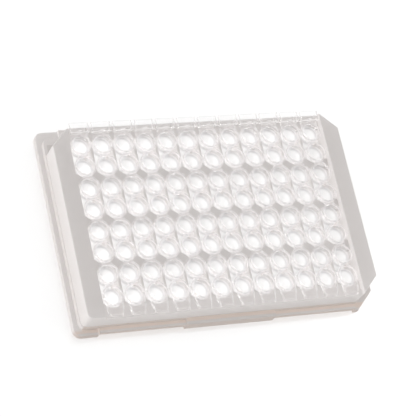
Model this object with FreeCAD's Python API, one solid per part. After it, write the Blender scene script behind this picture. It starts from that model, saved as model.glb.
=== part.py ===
import FreeCAD, Part
import math
import os

# A 96-well strip plate: a moulded plastic frame that carries twelve clear strips of eight wells each.
# Millimetres. X runs along the plate, Y across it with row A at +Y, and Z is up. The origin is the
# centre of the footprint, on the surface the plate stands on.

# The grid of wells.
COLUMNS = 12
ROWS = 8
PITCH = 9.0

# From the end wells' centres to the edges of the footprint, as the microplate standard sets them.
COLUMN_OFFSET = 14.38
ROW_OFFSET = 11.24

# The flange round the foot. Its widths run from the footprint's edge in to the body.
END_FLANGE_WIDTH = 2.38
FRONT_FLANGE_WIDTH = 2.64
BACK_FLANGE_WIDTH = 3.54
FLANGE_HEIGHT = 2.3
FLANGE_CORNER_RADIUS = 3.2
FLANGE_CORNER_CUT = 7.8

# Along each long side the flange is lifted off the surface, except at the corners and at a middle pad.
CORNER_SECTION_LENGTH = 9.68
LIFTED_BOTTOM = 2.5
LIFTED_TOP = 4.0
PAD_HALF_LENGTH = 18.8
PAD_TOP = 5.0

# The lower tier stands out from the upper body by a small step.
TIER_STEP = 0.3
TIER_TOP = 4.8
TIER_CORNER_RADIUS = 3.5
SHELF_THICKNESS = 1.5
WALL = 1.9
LONG_WALL_TOP = 12.2

# The body's upper corners: one is round, and three are cut off, which shows how the plate is turned.
BODY_CORNER_RADIUS = 2.4
FRONT_RIGHT_CUT = 7.2
BACK_RIGHT_CUT = 6.8
BACK_LEFT_CUT = 7.8
INSIDE_CORNER_RADIUS = 0.5

# The rounding along the top of the body, of the tier and of the flange.
BODY_EDGE_RADIUS = 0.5
TIER_EDGE_RADIUS = 0.2
FLANGE_EDGE_RADIUS = 0.5

# The raised deck at each end, the wall at its inner edge, and the ribs beneath it.
DECK_TOP = 14.35
DECK_THICKNESS = 1.6
INNER_WALL = 1.5
DECK_RIB_THICKNESS = 1.0
DECK_RIB_CENTRES = (20.0, 8.0, -22.0)
UNDERSIDE_HEIGHT = 2.0

# The lattice that the wells stand in: a bar after every second row, a rib between every two strips, and a
# ledge inside each long wall. Its top lies a little below the long walls' tops.
ROWS_PER_BAR = 2
BAR_THICKNESS = 1.0
BAR_PLATE_HALF_WIDTH = 2.2
BAR_PLATE_THICKNESS = 1.5
RIB_THICKNESS = 1.0
LATTICE_SETBACK = 0.9
WELL_CLEARANCE = 0.28

# One well. Its wall tapers, and its rim is a thin lip with a lower collar round it. The rim stands
# above the long wall that carries the strip.
RIM_HEIGHT = 1.4
LIP_OUTER_RADIUS = 3.85
LIP_HEIGHT = 0.3
COLLAR_RADIUS = 4.35
COLLAR_THICKNESS = 0.7
WELL_OUTER_TOP_RADIUS = 3.82
WELL_OUTER_BOTTOM_RADIUS = 3.6
WELL_BOTTOM = 1.8
WELL_FLOOR_THICKNESS = 1.0
WELL_INNER_TOP_RADIUS = 3.45
WELL_INNER_FLOOR_RADIUS = 3.2

# The web that joins a strip's wells. Its ends are wider and rest on the frame's long walls.
STRIP_END_GAP = 0.6
SEAT_CLEARANCE = 0.0
WEB_HALF_WIDTH = 2.0
WEB_END_HALF_WIDTH = 3.4
WEB_THICKNESS = 0.9
WEB_BACK_SETBACK = 0.3

# The tapered tab at the front end of each strip. It stops a little short of the front wall's face.
FRONT_TAB_LENGTH = 3.28
FRONT_TAB_SETBACK = 0.52
FRONT_TAB_ROOT_HALF_WIDTH = 3.33
FRONT_TAB_TIP_HALF_WIDTH = 2.63
FRONT_TAB_BEVEL = 0.35

# The finger tab at the back end: a riser on the web and a plate that hangs out over the back wall.
RISER_SETBACK = 3.1
RISER_THICKNESS = 1.1
FINGER_OVERHANG = 1.05
FINGER_HALF_WIDTH = 3.82
FINGER_THICKNESS = 1.2
FINGER_HEIGHT = 3.0
NOTCH_WIDTH = 1.2
NOTCH_DEPTH = 0.6
GUSSET_WIDTH = 1.0

OVERCUT = 1.0

# Places that follow from the sizes above.
GRID_HALF_LENGTH = (COLUMNS - 1) / 2 * PITCH
GRID_HALF_WIDTH = (ROWS - 1) / 2 * PITCH
COLUMN_XS = [column * PITCH - GRID_HALF_LENGTH for column in range(COLUMNS)]
ROW_YS = [GRID_HALF_WIDTH - row * PITCH for row in range(ROWS)]
FOOTPRINT_X = GRID_HALF_LENGTH + COLUMN_OFFSET
FOOTPRINT_Y = GRID_HALF_WIDTH + ROW_OFFSET
BODY_X = FOOTPRINT_X - END_FLANGE_WIDTH
FRONT_Y = FRONT_FLANGE_WIDTH - FOOTPRINT_Y
BACK_Y = FOOTPRINT_Y - BACK_FLANGE_WIDTH
DECK_INNER_X = GRID_HALF_LENGTH + COLLAR_RADIUS + STRIP_END_GAP
CORNER_SECTION_X = FOOTPRINT_X - CORNER_SECTION_LENGTH
WELL_HOLE_RADIUS = WELL_OUTER_TOP_RADIUS + WELL_CLEARANCE
STRIP_SEAT = LONG_WALL_TOP + SEAT_CLEARANCE
RIM_TOP = STRIP_SEAT + RIM_HEIGHT
FINGER_TOP = STRIP_SEAT + FINGER_HEIGHT
LATTICE_TOP = LONG_WALL_TOP - LATTICE_SETBACK


def box(x_low, x_high, y_low, y_high, z_low, z_high):
    corner = FreeCAD.Vector(x_low, y_low, z_low)
    return Part.makeBox(x_high - x_low, y_high - y_low, z_high - z_low, corner)


def prism(points, z_low, z_high):
    corners = [FreeCAD.Vector(x, y, z_low) for x, y in points]
    face = Part.Face(Part.makePolygon(corners + corners[:1]))
    return face.extrude(FreeCAD.Vector(0, 0, z_high - z_low))


def cornered_block(x_low, x_high, y_low, y_high, z_low, z_high, corners):
    """A block whose four upright edges are each ("round", radius) or ("cut", length along each side).

    The corners run anticlockwise from the front left one.
    """
    places = [(x_low, y_low), (x_high, y_low), (x_high, y_high), (x_low, y_high)]
    ways_in = [(0, -1), (1, 0), (0, 1), (-1, 0)]
    ways_out = [(1, 0), (0, 1), (-1, 0), (0, -1)]
    edges = []
    starts = []
    ends = []
    for place, way_in, way_out, corner in zip(places, ways_in, ways_out, corners):
        kind, size = corner
        point = FreeCAD.Vector(place[0], place[1], z_low)
        coming = FreeCAD.Vector(way_in[0], way_in[1], 0)
        going = FreeCAD.Vector(way_out[0], way_out[1], 0)
        start = point - coming * size
        end = point + going * size
        if kind == "round":
            middle = start + going * size + (coming - going) * (size * math.sqrt(0.5))
            edges.append(Part.Arc(start, middle, end).toShape())
        else:
            edges.append(Part.makeLine(start, end))
        starts.append(start)
        ends.append(end)
    for i in range(4):
        edges.append(Part.makeLine(ends[i], starts[(i + 1) % 4]))
    face = Part.Face(Part.Wire(Part.__sortEdges__(edges)))
    return face.extrude(FreeCAD.Vector(0, 0, z_high - z_low))


def turned(profile, x, y):
    """The solid made by turning a profile of (radius, height) points about an upright line."""
    points = [FreeCAD.Vector(x + radius, y, height) for radius, height in profile]
    face = Part.Face(Part.makePolygon(points + points[:1]))
    return face.revolve(FreeCAD.Vector(x, y, 0), FreeCAD.Vector(0, 0, 1), 360)


def joined(shapes):
    return shapes[0].fuse(shapes[1:]).removeSplitter()


def grown_cut(cut, distance):
    """The length of a corner cut after both sides and the cut face have moved out by a distance."""
    return cut + distance * (2 - math.sqrt(2))


def rounded_at_top(block, radius):
    """The block with the edges of its top face rounded."""
    top = block.BoundBox.ZMax
    edges = [edge for edge in block.Edges if edge.BoundBox.ZMin > top - 1e-6]
    return block.makeFillet(radius, edges)


def body_block(distance, z_low, z_high, corners):
    """The upper body's outline, moved out by a distance, as a block."""
    x = BODY_X + distance
    return cornered_block(-x, x, FRONT_Y - distance, BACK_Y + distance, z_low, z_high, corners)


def flange_section(x_low, x_high, z_low, z_high):
    """A length of the flange, between two places along the plate."""
    corners = [
        ("round", FLANGE_CORNER_RADIUS),
        ("cut", FLANGE_CORNER_CUT),
        ("round", FLANGE_CORNER_RADIUS),
        ("round", FLANGE_CORNER_RADIUS),
    ]
    x = FOOTPRINT_X
    y = FOOTPRINT_Y
    footprint = rounded_at_top(cornered_block(-x, x, -y, y, z_low, z_high, corners), FLANGE_EDGE_RADIUS)
    return footprint.common(box(x_low, x_high, -y, y, z_low, z_high))


def flange():
    """The flange round the foot: low at the ends and corners, lifted along the sides, deep at the pads."""
    return [
        flange_section(-FOOTPRINT_X, -CORNER_SECTION_X, 0, FLANGE_HEIGHT),
        flange_section(-CORNER_SECTION_X, -PAD_HALF_LENGTH, LIFTED_BOTTOM, LIFTED_TOP),
        flange_section(-PAD_HALF_LENGTH, PAD_HALF_LENGTH, 0, PAD_TOP),
        flange_section(PAD_HALF_LENGTH, CORNER_SECTION_X, LIFTED_BOTTOM, LIFTED_TOP),
        flange_section(CORNER_SECTION_X, FOOTPRINT_X, 0, FLANGE_HEIGHT),
    ]


def frame_outside():
    upper_corners = [
        ("round", BODY_CORNER_RADIUS),
        ("cut", FRONT_RIGHT_CUT),
        ("cut", BACK_RIGHT_CUT),
        ("cut", BACK_LEFT_CUT),
    ]
    tier_corners = [
        ("round", BODY_CORNER_RADIUS + TIER_STEP),
        ("cut", grown_cut(FRONT_RIGHT_CUT, TIER_STEP)),
        ("round", TIER_CORNER_RADIUS),
        ("round", TIER_CORNER_RADIUS),
    ]
    upper = rounded_at_top(body_block(0, 0, DECK_TOP, upper_corners), BODY_EDGE_RADIUS)
    tier = rounded_at_top(body_block(TIER_STEP, 0, TIER_TOP, tier_corners), TIER_EDGE_RADIUS)
    return joined([upper, tier] + flange())


def frame_inside():
    """The space within the outer walls, which widens under the shelves at the cut back corners."""
    upper_corners = [
        ("round", INSIDE_CORNER_RADIUS),
        ("cut", grown_cut(FRONT_RIGHT_CUT, -WALL)),
        ("cut", grown_cut(BACK_RIGHT_CUT, -WALL)),
        ("cut", grown_cut(BACK_LEFT_CUT, -WALL)),
    ]
    lower_corners = [
        ("round", INSIDE_CORNER_RADIUS),
        ("cut", grown_cut(FRONT_RIGHT_CUT, -WALL)),
        ("round", TIER_CORNER_RADIUS - WALL),
        ("round", TIER_CORNER_RADIUS - WALL),
    ]
    upper = body_block(-WALL, -OVERCUT, DECK_TOP + OVERCUT, upper_corners)
    lower = body_block(-WALL, -OVERCUT, TIER_TOP - SHELF_THICKNESS, lower_corners)
    return joined([upper, lower])


def across(x_low, x_high, z_low, z_high):
    """A block that runs right across the plate."""
    return box(x_low, x_high, -FOOTPRINT_Y, FOOTPRINT_Y, z_low, z_high)


def frame_shell():
    """The walls and decks, open at the middle for the strips and hollow under each deck."""
    inside = frame_inside()
    pocket_x = DECK_INNER_X + INNER_WALL
    over = DECK_TOP + OVERCUT
    well_space = across(-DECK_INNER_X, DECK_INNER_X, -OVERCUT, over)
    cuts = [inside.common(well_space)]
    for side in (-1, 1):
        x_low, x_high = sorted((side * pocket_x, side * BODY_X))
        cuts.append(inside.common(across(x_low, x_high, -OVERCUT, DECK_TOP - DECK_THICKNESS)))
        # The long walls' feet are lifted with the flange.
        x_low, x_high = sorted((side * PAD_HALF_LENGTH, side * CORNER_SECTION_X))
        cuts.append(across(x_low, x_high, -OVERCUT, LIFTED_BOTTOM))
    # The walls at the decks' inner edges stop short of the surface the plate stands on.
    foot = across(-BODY_X + WALL, BODY_X - WALL, -OVERCUT, UNDERSIDE_HEIGHT)
    cuts.append(inside.common(foot))
    # Between the decks the long walls are lower.
    cuts.append(across(-DECK_INNER_X, DECK_INNER_X, LONG_WALL_TOP, over))
    return frame_outside().cut(cuts)


def top_plates():
    """The front and back edges of the lattice's top plates: one over each bar, and a ledge in each long wall."""
    beside_a_row = PITCH / 2 - BAR_PLATE_HALF_WIDTH
    edges = [(FRONT_Y + WALL, ROW_YS[-1] - beside_a_row)]
    for row in range(ROWS_PER_BAR, ROWS, ROWS_PER_BAR):
        edges.append((ROW_YS[row] + beside_a_row, ROW_YS[row - 1] - beside_a_row))
    edges.append((ROW_YS[0] + beside_a_row, BACK_Y - WALL))
    return edges


def lattice():
    """The bars, ribs and plates that the wells stand between, with a round hole through them for each well."""
    pieces = []
    for y_low, y_high in top_plates():
        bottom = LATTICE_TOP - BAR_PLATE_THICKNESS
        pieces.append(box(-DECK_INNER_X, DECK_INNER_X, y_low, y_high, bottom, LATTICE_TOP))
    for row in range(ROWS_PER_BAR, ROWS, ROWS_PER_BAR):
        y = (ROW_YS[row - 1] + ROW_YS[row]) / 2
        half = BAR_THICKNESS / 2
        pieces.append(box(-DECK_INNER_X, DECK_INNER_X, y - half, y + half, UNDERSIDE_HEIGHT, LATTICE_TOP))
    for x, next_x in zip(COLUMN_XS, COLUMN_XS[1:]):
        middle = (x + next_x) / 2
        half = RIB_THICKNESS / 2
        front_y = FRONT_Y + WALL
        back_y = BACK_Y - WALL
        pieces.append(box(middle - half, middle + half, front_y, back_y, UNDERSIDE_HEIGHT, LATTICE_TOP))
    holes = []
    for x in COLUMN_XS:
        for y in ROW_YS:
            foot = FreeCAD.Vector(x, y, -OVERCUT)
            holes.append(Part.makeCylinder(WELL_HOLE_RADIUS, LATTICE_TOP + 2 * OVERCUT, foot))
    return joined(pieces).cut(holes)


def deck_ribs():
    """The ribs that stiffen each deck from below."""
    inner_x = DECK_INNER_X + INNER_WALL
    outer_x = BODY_X - WALL
    half = DECK_RIB_THICKNESS / 2
    ribs = []
    for y in DECK_RIB_CENTRES:
        for side in (-1, 1):
            x_low, x_high = sorted((side * inner_x, side * outer_x))
            ribs.append(
                box(x_low, x_high, y - half, y + half, UNDERSIDE_HEIGHT, DECK_TOP - DECK_THICKNESS)
            )
    return ribs


def frame():
    return joined([frame_shell(), lattice()] + deck_ribs())


def well_outside(x, y):
    collar_top = RIM_TOP - LIP_HEIGHT
    collar_bottom = collar_top - COLLAR_THICKNESS
    profile = [
        (0, WELL_BOTTOM),
        (WELL_OUTER_BOTTOM_RADIUS, WELL_BOTTOM),
        (WELL_OUTER_TOP_RADIUS, collar_bottom),
        (COLLAR_RADIUS, collar_bottom),
        (COLLAR_RADIUS, collar_top),
        (LIP_OUTER_RADIUS, collar_top),
        (LIP_OUTER_RADIUS, RIM_TOP),
        (0, RIM_TOP),
    ]
    return turned(profile, x, y)


def well_inside(x, y):
    floor = WELL_BOTTOM + WELL_FLOOR_THICKNESS
    profile = [
        (0, floor),
        (WELL_INNER_FLOOR_RADIUS, floor),
        (WELL_INNER_TOP_RADIUS, RIM_TOP),
        (0, RIM_TOP),
    ]
    return turned(profile, x, y)


def front_tab(x):
    """The tab that rests on the front wall. Its tapered sides and its tip are bevelled at the top."""
    tip_y = FRONT_Y + FRONT_TAB_SETBACK
    root_y = tip_y + FRONT_TAB_LENGTH
    outline = [
        (x - FRONT_TAB_ROOT_HALF_WIDTH, root_y),
        (x - FRONT_TAB_TIP_HALF_WIDTH, tip_y),
        (x + FRONT_TAB_TIP_HALF_WIDTH, tip_y),
        (x + FRONT_TAB_ROOT_HALF_WIDTH, root_y),
    ]
    tab = prism(outline, STRIP_SEAT, RIM_TOP)
    bevelled = []
    for edge in tab.Edges:
        at_top = edge.BoundBox.ZMin > RIM_TOP - 1e-6
        at_root = edge.BoundBox.YMin > root_y - 1e-6
        if at_top and not at_root:
            bevelled.append(edge)
    return tab.makeChamfer(FRONT_TAB_BEVEL, bevelled)


def finger_tab(x):
    """The raised plate a finger lifts the strip by, with its riser, its notch and its gusset."""
    plate_bottom = FINGER_TOP - FINGER_THICKNESS
    start_y = BACK_Y - RISER_SETBACK
    end_y = BACK_Y + FINGER_OVERHANG
    half = WEB_END_HALF_WIDTH
    riser = box(x - half, x + half, start_y, start_y + RISER_THICKNESS, STRIP_SEAT, plate_bottom)
    half = FINGER_HALF_WIDTH
    plate = box(x - half, x + half, start_y, end_y, plate_bottom, FINGER_TOP)
    half = NOTCH_WIDTH / 2
    notch = box(
        x - half, x + half, start_y - OVERCUT, start_y + NOTCH_DEPTH, plate_bottom, FINGER_TOP + OVERCUT
    )
    half = GUSSET_WIDTH / 2
    in_the_lip = ROW_YS[0] + (WELL_INNER_TOP_RADIUS + LIP_OUTER_RADIUS) / 2
    gusset = box(x - half, x + half, in_the_lip, start_y, STRIP_SEAT, RIM_TOP)
    return [riser, plate.cut(notch), gusset]


def web_piece(x, half_width, y_low, y_high):
    top = STRIP_SEAT + WEB_THICKNESS
    return box(x - half_width, x + half_width, y_low, y_high, STRIP_SEAT, top)


def strip(x):
    """One strip: eight wells on a web, with a tab at each end."""
    tab_root_y = FRONT_Y + FRONT_TAB_SETBACK + FRONT_TAB_LENGTH
    webs = [
        web_piece(x, FRONT_TAB_ROOT_HALF_WIDTH, tab_root_y, ROW_YS[-1]),
        web_piece(x, WEB_HALF_WIDTH, ROW_YS[-1], ROW_YS[0]),
        web_piece(x, WEB_END_HALF_WIDTH, ROW_YS[0], BACK_Y - WEB_BACK_SETBACK),
    ]
    wells = [well_outside(x, y) for y in ROW_YS]
    outside = joined(webs + [front_tab(x)] + finger_tab(x) + wells)
    return outside.cut([well_inside(x, y) for y in ROW_YS])


def save(shape, node):
    solids = shape.Solids
    if len(solids) != 1 or not solids[0].isValid():
        raise ValueError("%s isn't one valid solid" % node)
    solids[0].exportStep("parts/%s.step" % node)


os.makedirs("parts", exist_ok=True)
save(frame(), "frame")
for number, column_x in enumerate(COLUMN_XS, start=1):
    save(strip(column_x), "strip_%02d" % number)
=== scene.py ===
"""A strip-type well plate: a moulded frame with twelve strips of wells.

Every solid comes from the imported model. This script gives the solids their plastics, and adds the
floor, the lights and the camera. Lengths are in metres.
"""

import math

import bpy
from mathutils import Matrix, Vector

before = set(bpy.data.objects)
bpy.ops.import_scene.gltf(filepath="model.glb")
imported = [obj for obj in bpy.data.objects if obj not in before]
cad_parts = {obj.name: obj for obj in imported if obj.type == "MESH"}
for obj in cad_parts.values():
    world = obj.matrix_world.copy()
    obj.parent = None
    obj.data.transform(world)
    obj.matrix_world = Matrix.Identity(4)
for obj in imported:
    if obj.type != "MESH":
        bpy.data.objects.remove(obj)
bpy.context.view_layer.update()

FRAME_NODE = "frame"
WHITE = (1.0, 1.0, 1.0)

# The view, with its angles in degrees and the lens in millimetres.
CAMERA_AZIMUTH = -47.9
CAMERA_ELEVATION = 58.4
CAMERA_ROLL = 39.25
CAMERA_DISTANCE = 0.770
CAMERA_AIM = (-0.0033, 0.0012, 0.0136)
CAMERA_LENS = 170.5
CAMERA_SENSOR = 36.0

# The floor. Its lifts brighten it a little where the camera sees it, and more where a wall refracts it.
FLOOR_HALF_SIZE = 1.6
FLOOR_COLOUR = (0.84, 0.84, 0.84)
FLOOR_GLOSS = 0.25
FLOOR_GLOSS_ROUGHNESS = 0.15
FLOOR_LIFT = 0.02
FLOOR_LIFT_THROUGH_PLASTIC = 0.10

# The light.
WORLD_STRENGTH = 0.64
# Each lamp's name, azimuth, elevation, distance, size and power. The near one lights the right end most.
LAMPS = (
    ("left", -94, 6, 1.1, 0.9, 13.0),
    ("front_left", -30, 30, 1.1, 0.9, 2.7),
    ("right", 85, 38, 0.55, 0.45, 1.4),
    ("back", 176, 38, 1.1, 0.9, 2.5),
)
# How often light is followed on: through the many thin walls, and to and fro inside the wells.
WALLS_PASSED = 40
TURNS_IN_WELLS = 10

# What counts as a level face: its normal's Z at which it starts to, and at which it fully does.
LEVEL_START = 0.5
LEVEL_FULL = 0.9
# What counts as an edge: how far a rounded normal leaves the plain one, as 1 less their dot product.
EDGE_TURN_START = 0.01
EDGE_TURN_FULL = 0.12

# The frame's plastic. The shares are how much of the lamps' and the sky's light it lets through.
FRAME_COLOUR = (0.630, 0.608, 0.598)
FRAME_ROUGHNESS = 0.42
FRAME_IOR = 1.5
FRAME_GLOW = 0.45
FRAME_LAMP_SHARE = 0.88
FRAME_SKY_SHARE = 0.5
FRAME_FADE = 0.0003

# Its level tops, painted darker as painted shade, apart from what lies in front of this line and below this
# height.
FRAME_TOP_SHADE_COLOUR = (0.572, 0.550, 0.540)
FRAME_FRONT_LEDGE_BACK = -0.0345
FRAME_LEDGE_TOP = 0.0130

# Its foot, which is warm in front and on the right, from the browner tint of its thicker plastic and from
# painted shade, and painted paler at the left end and the back as painted light.
FRAME_FOOT_TINT_AND_SHADE_COLOUR = (0.530, 0.470, 0.435)
FRAME_FOOT_TOP = 0.0051
FRAME_FOOT_LIT_COLOUR = (0.640, 0.615, 0.605)
FRAME_FOOT_LEFT_END = -0.0605
FRAME_FOOT_BACK_START = 0.0360

# The grey of the foot's upper part and level tops, painted shade in the crease under the wall and on the
# tops, and the warm step below the front wall, painted light that comes through the plastic.
FRAME_CREASE_SHADE_COLOUR = (0.545, 0.520, 0.508)
FRAME_CREASE_SHADE_BOTTOM = 0.0043
FRAME_STEP_LIGHT_COLOUR = (0.600, 0.520, 0.470)
FRAME_STEP_BOTTOM = 0.0020
FRAME_STEP_FRONT = -0.0415
FRAME_STEP_BACK = -0.0395

# The flat ring round each rim, which shows what lies below it. ROWS_END is how far the rows reach from
# the middle, so that the tabs have no rings.
WELL_PITCH = 0.009
RING_INNER_RADIUS = 0.00386
RING_OUTER_RADIUS = 0.00412
RING_BOTTOM = 0.0115
RING_TINT = (0.90, 0.885, 0.89)
RING_SHARE = 0.9
ROWS_END = 0.036

# The finger tabs: clear behind FINGER_START, and painted grey on faces whose normal is this far along X, as
# painted shade.
FINGER_START = 0.0372
FINGER_STRAIGHT = 0.9
FINGER_SIDE_SHADE_COLOUR = (0.60, 0.585, 0.58)
FINGER_SIDE_SHADE_SHARE = 0.5
FINGER_SIDE_TURN = 0.7

# The strips' plastic is clear above this height. Below it the wells' bodies are painted milky white:
# painted light, for the light that fills the clear wells.
LIT_WELL_TOP = 0.0107
LIT_WELL_FADE = 0.0001
LIT_WELL_COLOUR = (0.852, 0.852, 0.852)
LIT_WELL_ROUGHNESS = 0.2
LIT_WELL_IOR = 1.5
LIT_WELL_GLOW = 0.5
LIT_WELL_LAMP_SHARE = 1.0
LIT_WELL_SKY_SHARE = 0.0

# The lit bodies: painted shade makes them greyer at the shoulder and where they turn away from the viewer,
# painted light makes them brighter at the base, and they are plain in a thin line at the top.
WELL_SIDE_SHADE_COLOUR = (0.70, 0.70, 0.71)
WELL_SIDE_SHADE_BLEND = 0.5
WELL_SIDE_SHADE_START = 0.52
WELL_SIDE_SHADE_FULL = 0.90
WELL_SHOULDER_SHADE_COLOUR = (0.60, 0.585, 0.585)
WELL_SHOULDER_SHADE_BOTTOM = 0.0082
WELL_BASE_LIGHT_COLOUR = (0.92, 0.92, 0.92)
WELL_BASE_LIGHT_TOP = 0.0032
LIT_WELL_LINE = 0.0003

# The clear part: polished, partly seen straight through, and with a trace of cloud.
CLEAR_TINT = (0.985, 0.98, 0.98)
CLEAR_ROUGHNESS = 0.03
CLEAR_IOR = 1.58
CLEAR_STRAIGHT = 0.60
CLEAR_LAMP_SHARE = 1.0
CLEAR_SKY_SHARE = 1.0
CLOUD_COLOUR = (0.80, 0.775, 0.78)
CLOUD_FACE_SHARE = 0.5
CLOUD = 0.02

# Its edges: a soft grey band of painted shade, and a narrower bright line of painted highlight at the edge
# itself.
EDGE_SHADE_COLOUR = (0.50, 0.475, 0.475)
EDGE_SHADE_WIDTH = 0.0005
EDGE_SHADE_SHARE = 0.30
EDGE_HIGHLIGHT_COLOUR = (0.96, 0.94, 0.935)
EDGE_HIGHLIGHT_FACE_SHARE = 0.85
EDGE_HIGHLIGHT_WIDTH = 0.00026
EDGE_HIGHLIGHT_SHARE = 1.0


def new_material(name):
    """An empty node material, its tree and its output node."""
    material = bpy.data.materials.new(name)
    material.use_nodes = True
    tree = material.node_tree
    tree.nodes.clear()
    return material, tree, tree.nodes.new("ShaderNodeOutputMaterial")


def rgba(colour):
    return (*colour, 1.0)


def add_node(tree, kind, **values):
    """A node of that kind, with its inputs set by name. Spaces in a name are written as _."""
    made = tree.nodes.new(kind)
    for name, value in values.items():
        made.inputs[name.replace("_", " ")].default_value = value
    return made


def link(tree, source, output, target, name):
    tree.links.new(source.outputs[output], target.inputs[name])


def coloured(tree, kind, colour):
    """The output of a shader of that kind, such as Diffuse or Transparent, in one colour."""
    return add_node(tree, "ShaderNodeBsdf" + kind, Color=rgba(colour)).outputs[0]


def mixed(tree, factor, first, second):
    """Two shaders mixed by a number or by another node's output."""
    mix = tree.nodes.new("ShaderNodeMixShader")
    if isinstance(factor, float):
        mix.inputs[0].default_value = factor
    else:
        tree.links.new(factor, mix.inputs[0])
    tree.links.new(first, mix.inputs[1])
    tree.links.new(second, mix.inputs[2])
    return mix.outputs[0]


def blended(tree, factor, first, second):
    """A colour that goes from the first to the second as the factor goes from 0 to 1."""
    mix = tree.nodes.new("ShaderNodeMix")
    mix.data_type = "RGBA"
    tree.links.new(factor, mix.inputs["Factor"])
    for name, value in (("A", first), ("B", second)):
        socket = [s for s in mix.inputs if s.name == name and s.type == "RGBA"][0]
        if isinstance(value, tuple):
            socket.default_value = rgba(value)
        else:
            tree.links.new(value, socket)
    return [s for s in mix.outputs if s.type == "RGBA"][0]


def calculated(tree, operation, *values):
    """The output of a Math node, from numbers or other nodes' outputs."""
    node = tree.nodes.new("ShaderNodeMath")
    node.operation = operation
    for place, value in enumerate(values):
        if isinstance(value, float):
            node.inputs[place].default_value = value
        else:
            tree.links.new(value, node.inputs[place])
    return node.outputs[0]


def product(tree, first, *others):
    """The values multiplied, which for shares is what is left where all of them hold."""
    for other in others:
        first = calculated(tree, "MULTIPLY", first, other)
    return first


def over(tree, value, limit):
    """1 where the value is over the limit, and 0 elsewhere."""
    return calculated(tree, "GREATER_THAN", value, limit)


def under(tree, value, limit):
    """1 where the value is under the limit, and 0 elsewhere."""
    return calculated(tree, "LESS_THAN", value, limit)


def ramped(tree, value, low, high):
    """0 below low, 1 above high, and smooth between."""
    node = add_node(tree, "ShaderNodeMapRange", From_Min=low, From_Max=high)
    node.interpolation_type = "SMOOTHSTEP"
    tree.links.new(value, node.inputs["Value"])
    return node.outputs["Result"]


def along(tree, axis):
    """Where a point of the object lies along that axis. Along Z it is its height above the floor."""
    place = tree.nodes.new("ShaderNodeTexCoord")
    split = tree.nodes.new("ShaderNodeSeparateXYZ")
    link(tree, place, "Object", split, "Vector")
    return split.outputs[axis]


def turned_to(tree, axis):
    """How far a face is turned to that axis: 1 along it, 0 across it and -1 against it."""
    face = tree.nodes.new("ShaderNodeNewGeometry")
    split = tree.nodes.new("ShaderNodeSeparateXYZ")
    link(tree, face, "True Normal", split, "Vector")
    return split.outputs[axis]


def faces_up(tree):
    """1 on faces that look up, and 0 on upright ones."""
    return ramped(tree, turned_to(tree, "Z"), LEVEL_START, LEVEL_FULL)


def from_axis(tree):
    """How far a point lies from the axis of its well. The wells stand half a pitch off the middle."""
    squares = []
    for axis in ("X", "Y"):
        past = calculated(tree, "FLOORED_MODULO", along(tree, axis), WELL_PITCH)
        aside = calculated(tree, "SUBTRACT", past, WELL_PITCH / 2)
        squares.append(product(tree, aside, aside))
    return calculated(tree, "SQRT", calculated(tree, "ADD", *squares))


def on_ring(tree):
    """A share on the flat ring round each rim, and 0 elsewhere."""
    radius = from_axis(tree)
    beside = calculated(tree, "ABSOLUTE", along(tree, "Y"))
    return product(
        tree,
        over(tree, radius, RING_INNER_RADIUS),
        under(tree, radius, RING_OUTER_RADIUS),
        under(tree, beside, ROWS_END),
        over(tree, along(tree, "Z"), RING_BOTTOM),
        faces_up(tree),
        RING_SHARE,
    )


def at_edges(tree, width, share):
    """Up to that share within that width of an edge of the object, and 0 on its flat and round faces."""
    softened = add_node(tree, "ShaderNodeBevel", Radius=width)
    face = tree.nodes.new("ShaderNodeNewGeometry")
    dot = tree.nodes.new("ShaderNodeVectorMath")
    dot.operation = "DOT_PRODUCT"
    link(tree, softened, "Normal", dot, 0)
    link(tree, face, "Normal", dot, 1)
    turn = calculated(tree, "SUBTRACT", 1.0, dot.outputs["Value"])
    return product(tree, ramped(tree, turn, EDGE_TURN_START, EDGE_TURN_FULL), share)


def glowing(tree, colour, roughness, ior, share):
    """A plastic's surface in that colour, mixed with that share of light that comes through it."""
    surface = add_node(tree, "ShaderNodeBsdfPrincipled", Roughness=roughness, IOR=ior)
    glow = tree.nodes.new("ShaderNodeBsdfTranslucent")
    tree.links.new(colour, surface.inputs["Base Color"])
    tree.links.new(colour, glow.inputs["Color"])
    return mixed(tree, share, surface.outputs[0], glow.outputs[0])


def lit_through(tree, shader, lamp_share, sky_share):
    """The shader, letting a share of lamp and sky light through, as a thin plastic wall does."""
    path = tree.nodes.new("ShaderNodeLightPath")
    lamps = product(tree, path.outputs["Is Shadow Ray"], lamp_share)
    sky = product(tree, path.outputs["Is Diffuse Ray"], sky_share)
    passed = calculated(tree, "MAXIMUM", lamps, sky)
    return mixed(tree, passed, shader, coloured(tree, "Transparent", WHITE))


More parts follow.
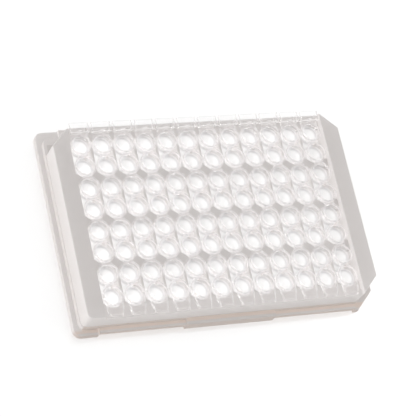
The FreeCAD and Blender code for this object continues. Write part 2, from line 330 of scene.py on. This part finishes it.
def foot_tint_and_painted_light(tree, height, depth):
    """The foot's colours and painted light: brown below, from the thicker plastic's tint and painted shade,
    grey above and on its tops as painted shade, warm on the front step as painted light, and paler at the
    left and back as painted light.
    """
    # Painted shade: the foot's upper part, in the crease under the wall, and its level tops are grey.
    crease = ramped(tree, height, FRAME_CREASE_SHADE_BOTTOM, FRAME_CREASE_SHADE_BOTTOM + FRAME_FADE)
    colour = blended(tree, crease, FRAME_FOOT_TINT_AND_SHADE_COLOUR, FRAME_CREASE_SHADE_COLOUR)
    shelf = product(tree, over(tree, height, FRAME_STEP_BOTTOM), faces_up(tree))
    colour = blended(tree, shelf, colour, FRAME_CREASE_SHADE_COLOUR)
    # Painted light: a warm step below the front wall, as light that comes through the plastic.
    behind_front = ramped(tree, depth, FRAME_STEP_FRONT - FRAME_FADE, FRAME_STEP_FRONT)
    step = product(tree, behind_front, shelf, under(tree, depth, FRAME_STEP_BACK))
    colour = blended(tree, step, colour, FRAME_STEP_LIGHT_COLOUR)
    # Painted light: the left end and the back of the foot are paler.
    left = under(tree, along(tree, "X"), FRAME_FOOT_LEFT_END)
    left = product(tree, left, ramped(tree, depth, FRAME_STEP_FRONT, FRAME_STEP_BACK))
    pale = calculated(tree, "MAXIMUM", left, over(tree, depth, FRAME_FOOT_BACK_START))
    return blended(tree, pale, colour, FRAME_FOOT_LIT_COLOUR)


def on_shaded_tops(tree, height, depth, above_foot):
    """1 on the frame's level tops, which are painted darker as painted shade, apart from the ledge along
    its front.
    """
    high = over(tree, height, FRAME_LEDGE_TOP)
    behind = calculated(tree, "SUBTRACT", 1.0, under(tree, depth, FRAME_FRONT_LEDGE_BACK))
    return product(tree, above_foot, faces_up(tree), calculated(tree, "MAXIMUM", high, behind))


def frame_plastic():
    """Warm grey plastic, in tones that change with the place, that lets much of the light through. Its tops
    and the foot's crease carry painted shade, and its front step, left end and back painted light.
    """
    material, tree, out = new_material("frame_plastic")
    height = along(tree, "Z")
    depth = along(tree, "Y")
    above_foot = ramped(tree, height, FRAME_FOOT_TOP, FRAME_FOOT_TOP + FRAME_FADE)
    # The foot: browner for its thicker plastic, and darker as painted shade.
    colour = blended(tree, above_foot, foot_tint_and_painted_light(tree, height, depth), FRAME_COLOUR)
    # Painted shade: the level tops are darker.
    colour = blended(tree, on_shaded_tops(tree, height, depth, above_foot), colour, FRAME_TOP_SHADE_COLOUR)
    plastic = glowing(tree, colour, FRAME_ROUGHNESS, FRAME_IOR, FRAME_GLOW)
    plastic = lit_through(tree, plastic, FRAME_LAMP_SHARE, FRAME_SKY_SHARE)
    tree.links.new(plastic, out.inputs["Surface"])
    return material


def finger_plastic(tree, clear):
    """The finger tabs' shader: nearly unseen where they are looked through, and painted grey at the sides
    as painted shade.
    """
    open_face = mixed(tree, FINGER_STRAIGHT, clear, coloured(tree, "Transparent", WHITE))
    aside = calculated(tree, "ABSOLUTE", turned_to(tree, "X"))
    # Painted shade: the tabs' sides are grey.
    share = product(tree, over(tree, aside, FINGER_SIDE_TURN), FINGER_SIDE_SHADE_SHARE)
    return mixed(tree, share, open_face, coloured(tree, "Translucent", FINGER_SIDE_SHADE_COLOUR))


def with_edge_shade_and_highlight(tree, plastic):
    """The plastic, with a soft grey band of painted shade and a narrow bright line of painted highlight
    along its edges.
    """
    # Painted shade: a soft grey band along the edges.
    band = at_edges(tree, EDGE_SHADE_WIDTH, EDGE_SHADE_SHARE)
    plastic = mixed(tree, band, plastic, coloured(tree, "Translucent", EDGE_SHADE_COLOUR))
    # Painted highlight: a narrow bright line at the edges themselves.
    glow = coloured(tree, "Translucent", EDGE_HIGHLIGHT_COLOUR)
    bright = mixed(tree, EDGE_HIGHLIGHT_FACE_SHARE, glow, coloured(tree, "Diffuse", EDGE_HIGHLIGHT_COLOUR))
    return mixed(tree, at_edges(tree, EDGE_HIGHLIGHT_WIDTH, EDGE_HIGHLIGHT_SHARE), plastic, bright)


def clear_plastic(tree):
    """Polished clear plastic, for the strips' webs, tabs and rims."""
    clear = add_node(
        tree,
        "ShaderNodeBsdfPrincipled",
        Base_Color=rgba(CLEAR_TINT),
        Roughness=CLEAR_ROUGHNESS,
        IOR=CLEAR_IOR,
        Transmission_Weight=1.0,
    ).outputs[0]
    plastic = mixed(tree, CLEAR_STRAIGHT, clear, coloured(tree, "Transparent", CLEAR_TINT))
    glow = coloured(tree, "Translucent", CLOUD_COLOUR)
    cloud = mixed(tree, CLOUD_FACE_SHARE, glow, coloured(tree, "Diffuse", CLOUD_COLOUR))
    plastic = with_edge_shade_and_highlight(tree, mixed(tree, CLOUD, plastic, cloud))
    plastic = mixed(tree, on_ring(tree), plastic, coloured(tree, "Transparent", RING_TINT))
    behind = over(tree, along(tree, "Y"), FINGER_START)
    plastic = mixed(tree, behind, plastic, finger_plastic(tree, clear))
    return lit_through(tree, plastic, CLEAR_LAMP_SHARE, CLEAR_SKY_SHARE)


def lit_well_plastic(tree, height):
    """Milky white plastic for the bodies of the wells, painted light for the light in them, with painted
    shade at the shoulder and the sides and painted light at the base.
    """
    # Painted shade: the shoulder is greyer.
    shoulder = ramped(tree, height, WELL_SHOULDER_SHADE_BOTTOM, LIT_WELL_TOP - LIT_WELL_LINE)
    colour = blended(tree, shoulder, LIT_WELL_COLOUR, WELL_SHOULDER_SHADE_COLOUR)
    # Painted shade: greyer where the bodies turn away from the viewer.
    seen = add_node(tree, "ShaderNodeLayerWeight", Blend=WELL_SIDE_SHADE_BLEND)
    side = ramped(tree, seen.outputs["Facing"], WELL_SIDE_SHADE_START, WELL_SIDE_SHADE_FULL)
    colour = blended(tree, side, colour, WELL_SIDE_SHADE_COLOUR)
    # Painted light: brighter at the base.
    colour = blended(tree, under(tree, height, WELL_BASE_LIGHT_TOP), colour, WELL_BASE_LIGHT_COLOUR)
    colour = blended(tree, over(tree, height, LIT_WELL_TOP - LIT_WELL_LINE), colour, LIT_WELL_COLOUR)
    plastic = glowing(tree, colour, LIT_WELL_ROUGHNESS, LIT_WELL_IOR, LIT_WELL_GLOW)
    return lit_through(tree, plastic, LIT_WELL_LAMP_SHARE, LIT_WELL_SKY_SHARE)


def strip_plastic():
    """The strips' plastic, clear above, and painted milky white below as painted light."""
    material, tree, out = new_material("strip_plastic")
    height = along(tree, "Z")
    above = ramped(tree, height, LIT_WELL_TOP - LIT_WELL_FADE, LIT_WELL_TOP)
    # Painted light: the wells' bodies below are milky white.
    plastic = mixed(tree, above, lit_well_plastic(tree, height), clear_plastic(tree))
    tree.links.new(plastic, out.inputs["Surface"])
    return material


def floor_material():
    """Pale and faintly glossy, and a little brighter where it is seen, most of all through the plastic."""
    material, tree, out = new_material("floor")
    gloss = add_node(
        tree, "ShaderNodeBsdfGlossy", Color=rgba(WHITE), Roughness=FLOOR_GLOSS_ROUGHNESS
    )
    board = mixed(tree, FLOOR_GLOSS, coloured(tree, "Diffuse", FLOOR_COLOUR), gloss.outputs[0])
    lift = add_node(tree, "ShaderNodeEmission", Color=rgba(WHITE))
    path = tree.nodes.new("ShaderNodeLightPath")
    direct = product(tree, path.outputs["Is Camera Ray"], FLOOR_LIFT)
    through = product(tree, path.outputs["Is Transmission Ray"], FLOOR_LIFT_THROUGH_PLASTIC)
    tree.links.new(calculated(tree, "ADD", direct, through), lift.inputs["Strength"])
    both = tree.nodes.new("ShaderNodeAddShader")
    tree.links.new(board, both.inputs[0])
    tree.links.new(lift.outputs[0], both.inputs[1])
    link(tree, both, "Shader", out, "Surface")
    return material


def give_material(obj, material):
    obj.data.materials.clear()
    obj.data.materials.append(material)


def dress_nodes():
    """One plastic on the frame, and another on every strip."""
    frame_material = frame_plastic()
    strip_material = strip_plastic()
    for name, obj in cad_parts.items():
        give_material(obj, frame_material if name == FRAME_NODE else strip_material)


def add_floor():
    mesh = bpy.data.meshes.new("floor")
    side = FLOOR_HALF_SIZE
    square = [(-side, -side, 0), (side, -side, 0), (side, side, 0), (-side, side, 0)]
    mesh.from_pydata(square, [], [(0, 1, 2, 3)])
    floor = bpy.data.objects.new("floor", mesh)
    bpy.context.scene.collection.objects.link(floor)
    give_material(floor, floor_material())


def direction(azimuth, elevation):
    """The way from the object to a viewer. Azimuth 0 looks along +Y, and azimuth 90 looks along -X."""
    around = math.radians(azimuth)
    up = math.radians(elevation)
    flat = math.cos(up)
    return Vector((math.sin(around) * flat, -math.cos(around) * flat, math.sin(up)))


def facing(way, roll=0.0):
    """A rotation that looks back along a direction, turned about it by roll degrees."""
    look = (-way).to_track_quat("-Z", "Y").to_matrix()
    return look @ Matrix.Rotation(math.radians(roll), 3, "Z")


def add_lamp(name, azimuth, elevation, distance, size, power):
    """A round lamp that looks at the middle of the floor."""
    lamp = bpy.data.lights.new(name, "AREA")
    lamp.shape = "DISK"
    lamp.size = size
    lamp.energy = power
    obj = bpy.data.objects.new(name, lamp)
    way = direction(azimuth, elevation)
    obj.location = way * distance
    obj.rotation_euler = facing(way).to_euler()
    bpy.context.scene.collection.objects.link(obj)


def add_world():
    """Soft light all round. What looks past the object, or mirrors past it, sees pure white."""
    world = bpy.data.worlds.new("studio")
    world.use_nodes = True
    tree = world.node_tree
    background = tree.nodes["Background"]
    background.inputs["Color"].default_value = rgba(WHITE)
    path = tree.nodes.new("ShaderNodeLightPath")
    looks = calculated(tree, "MAXIMUM", path.outputs["Is Camera Ray"], path.outputs["Is Glossy Ray"])
    looks = calculated(tree, "MAXIMUM", looks, path.outputs["Is Transmission Ray"])
    more = product(tree, looks, 1.0 - WORLD_STRENGTH)
    tree.links.new(calculated(tree, "ADD", more, WORLD_STRENGTH), background.inputs["Strength"])
    bpy.context.scene.world = world


def add_light():
    add_world()
    for lamp in LAMPS:
        add_lamp(*lamp)


def follow_light():
    cycles = bpy.context.scene.cycles
    cycles.transparent_max_bounces = WALLS_PASSED
    cycles.diffuse_bounces = TURNS_IN_WELLS


def add_camera():
    data = bpy.data.cameras.new("camera")
    data.lens = CAMERA_LENS
    data.sensor_width = CAMERA_SENSOR
    camera = bpy.data.objects.new("camera", data)
    way = direction(CAMERA_AZIMUTH, CAMERA_ELEVATION)
    camera.location = Vector(CAMERA_AIM) + way * CAMERA_DISTANCE
    camera.rotation_euler = facing(way, CAMERA_ROLL).to_euler()
    bpy.context.scene.collection.objects.link(camera)
    bpy.context.scene.camera = camera


dress_nodes()
add_floor()
add_light()
follow_light()
add_camera()
bpy.context.scene.view_settings.view_transform = "Standard"
